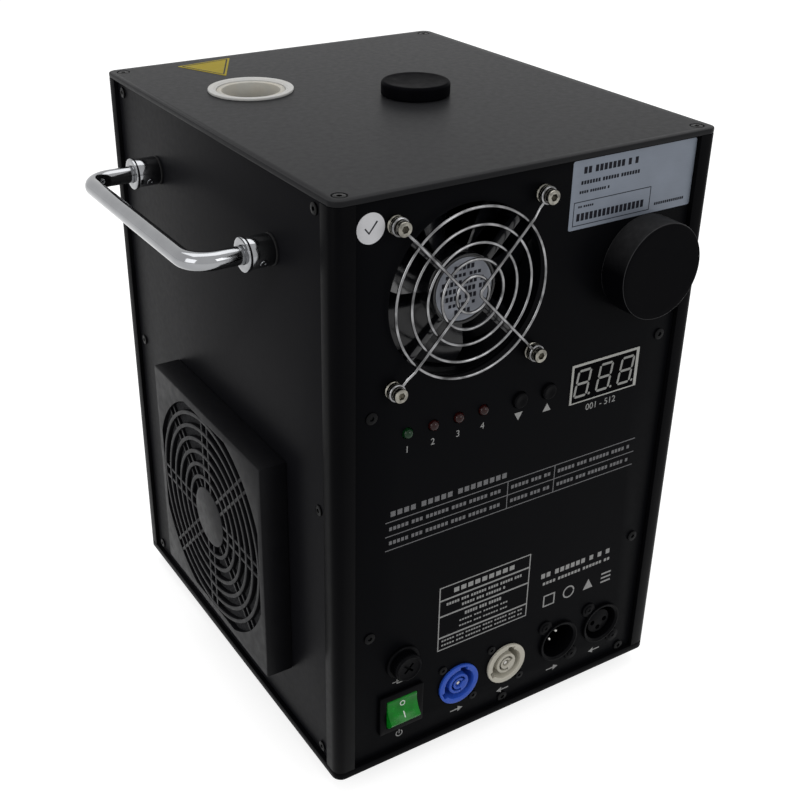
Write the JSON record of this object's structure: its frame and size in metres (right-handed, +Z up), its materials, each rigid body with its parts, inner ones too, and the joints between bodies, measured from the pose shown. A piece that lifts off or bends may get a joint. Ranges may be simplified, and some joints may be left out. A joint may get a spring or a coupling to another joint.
{
  "type": "cold spark machine",
  "caption": "Black box-shaped spark fountain machine with chrome carrying handles, wire-guarded fan, ribbed air intake, display, rocker switch, locking sockets and top nozzle.",
  "frame": {"origin": "on the floor under the middle of the bounding box, with the machine on its four feet", "axes": "+Z up, -Y out of the control panel, +X to the right of someone facing the control panel"},
  "size_m": [0.2706, 0.2426, 0.3067],
  "materials": {
    "casing_paint": "fine satin black powder coat",
    "top_paint": "fine satin charcoal powder coat",
    "panel_paint": "satin black panel with pale print",
    "chrome": "polished chrome plate",
    "steel": "brushed sheet steel",
    "rubber": "matt black rubber",
    "black_plastic": "fine satin black plastic",
    "fan_plastic": "smooth black moulded plastic",
    "ceramic": "matt white ceramic",
    "rocker_green": "clear green plastic",
    "blue_plastic": "satin blue plastic",
    "grey_plastic": "satin warm grey plastic",
    "display_window": "white digits on a black face",
    "green_lens": "unlit green lens",
    "red_lens": "unlit red lens",
    "circuit_board": "green solder mask"
  },
  "bodies": {
    "machine": {"top_plate": "top_paint", "bottom_plate": "casing_paint", "post_front_left": "casing_paint", "post_front_right": "casing_paint", "post_back_left": "casing_paint", "post_back_right": "casing_paint", "back_panel": "casing_paint", "left_panel": "casing_paint", "right_panel": "casing_paint", "intake_cover": "casing_paint", "control_panel": "panel_paint", "foot_front_left": "rubber", "foot_front_right": "rubber", "foot_back_left": "rubber", "foot_back_right": "rubber", "handle_bar_left": "chrome", "handle_bar_right": "chrome", "handle_ferrule_front_left": "chrome", "handle_ferrule_back_left": "chrome", "handle_ferrule_front_right": "chrome", "handle_ferrule_back_right": "chrome", "wire_guard": "chrome", "guard_screw_1": "chrome", "guard_screw_2": "chrome", "guard_screw_3": "chrome", "guard_screw_4": "chrome", "exhaust_fan_frame": "fan_plastic", "intake_fan_frame": "fan_plastic", "cover_socket": "black_plastic", "fuse_holder": "black_plastic", "power_switch": "black_plastic", "data_in_socket": "black_plastic", "data_out_socket": "black_plastic", "blower_housing": "black_plastic", "nozzle_ring": "ceramic", "heater_tube": "ceramic", "hopper": "steel", "feed_tube": "steel", "feed_motor": "steel", "power_supply": "steel", "power_inlet": "blue_plastic", "power_outlet": "grey_plastic", "display": "display_window", "indicator_1": "green_lens", "indicator_2": "red_lens", "indicator_3": "red_lens", "indicator_4": "red_lens", "control_board": "circuit_board"},
    "power_rocker": {"power_rocker": "rocker_green"},
    "down_button": {"down_button": "black_plastic"},
    "up_button": {"up_button": "black_plastic"},
    "exhaust_rotor": {"exhaust_fan_rotor": "fan_plastic"},
    "intake_rotor": {"intake_fan_rotor": "fan_plastic"},
    "blower_impeller": {"blower_impeller": "black_plastic"},
    "feed_auger": {"feed_auger": "steel"},
    "feed_cap": {"feed_cap": "black_plastic"},
    "round_cover": {"round_cover": "black_plastic"},
    "fuse_cap": {"fuse_cap": "black_plastic"}
  },
  "joints": [
    {"name": "power_rocker_tilt", "type": "hinge", "parent": "machine", "child": "power_rocker", "pos_m": [-0.0614, -0.10505, 0.0392], "axis": [1, 0, 0], "range_deg": [0, 40]},
    {"name": "down_button_press", "type": "slide", "parent": "machine", "child": "down_button", "axis": [0, 1, 0], "range_m": [0, 0.0012], "stiffness_N_per_m": 150},
    {"name": "up_button_press", "type": "slide", "parent": "machine", "child": "up_button", "axis": [0, 1, 0], "range_m": [0, 0.0012], "stiffness_N_per_m": 150},
    {"name": "exhaust_fan_spin", "type": "hinge", "parent": "machine", "child": "exhaust_rotor", "pos_m": [-0.0334, -0.0925, 0.2505], "axis": [0, 1, 0], "continuous": true},
    {"name": "intake_fan_spin", "type": "hinge", "parent": "machine", "child": "intake_rotor", "pos_m": [-0.0815, -0.00275, 0.105], "axis": [1, 0, 0], "continuous": true},
    {"name": "blower_spin", "type": "hinge", "parent": "machine", "child": "blower_impeller", "pos_m": [-0.028, 0.05075, 0.0523], "axis": [0, 1, 0], "continuous": true},
    {"name": "feed_auger_spin", "type": "hinge", "parent": "machine", "child": "feed_auger", "pos_m": [0.0131, 0.00465, 0.2025], "axis": [-0.8118, 0.5839, 0], "continuous": true},
    {"name": "feed_cap_lift", "type": "slide", "parent": "machine", "child": "feed_cap", "axis": [0, 0, 1], "range_m": [0, 0.02]},
    {"name": "round_cover_pull", "type": "slide", "parent": "machine", "child": "round_cover", "axis": [0, -1, 0], "range_m": [0, 0.02]},
    {"name": "fuse_cap_turn", "type": "hinge", "parent": "machine", "child": "fuse_cap", "pos_m": [-0.0607, -0.10675, 0.0674], "axis": [0, 1, 0], "range_deg": [-90, 0]}
  ]
}
